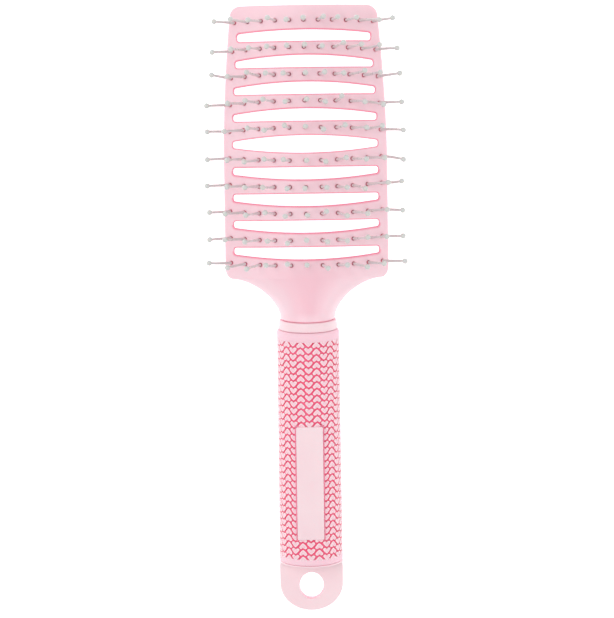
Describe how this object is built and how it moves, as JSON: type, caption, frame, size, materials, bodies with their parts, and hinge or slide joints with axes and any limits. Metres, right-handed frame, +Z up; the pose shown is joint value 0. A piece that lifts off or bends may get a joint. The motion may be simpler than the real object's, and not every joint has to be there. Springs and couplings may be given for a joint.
{
  "type": "vent hairbrush",
  "caption": "Curved vent hairbrush with a slotted arched head, ball-tipped nylon pins, a flared neck and a round rubber grip that ends in a hanging tab.",
  "frame": {"origin": "middle of the footprint, on the plane that the brush lies on", "axes": "+Z up, out of the pinned face; +Y along the handle towards the head; X across the head"},
  "size_m": [0.08, 0.2494, 0.0411],
  "materials": {
    "head": "satin moulded",
    "trim": "satin moulded",
    "core": "moulded",
    "grip": "matte, soft touch",
    "pins": "translucent nylon"
  },
  "bodies": {
    "root": {"head_frame": "head", "neck_collar": "trim", "handle_core": "core", "grip_sleeve": "grip", "badge_plate": "trim", "end_cap": "trim", "pin_strip_01": "pins", "pin_strip_02": "pins", "pin_strip_03": "pins", "pin_strip_04": "pins", "pin_strip_05": "pins", "pin_strip_06": "pins", "pin_strip_07": "pins", "pin_strip_08": "pins", "pin_strip_09": "pins", "pin_strip_10": "pins"}
  },
  "joints": []
}
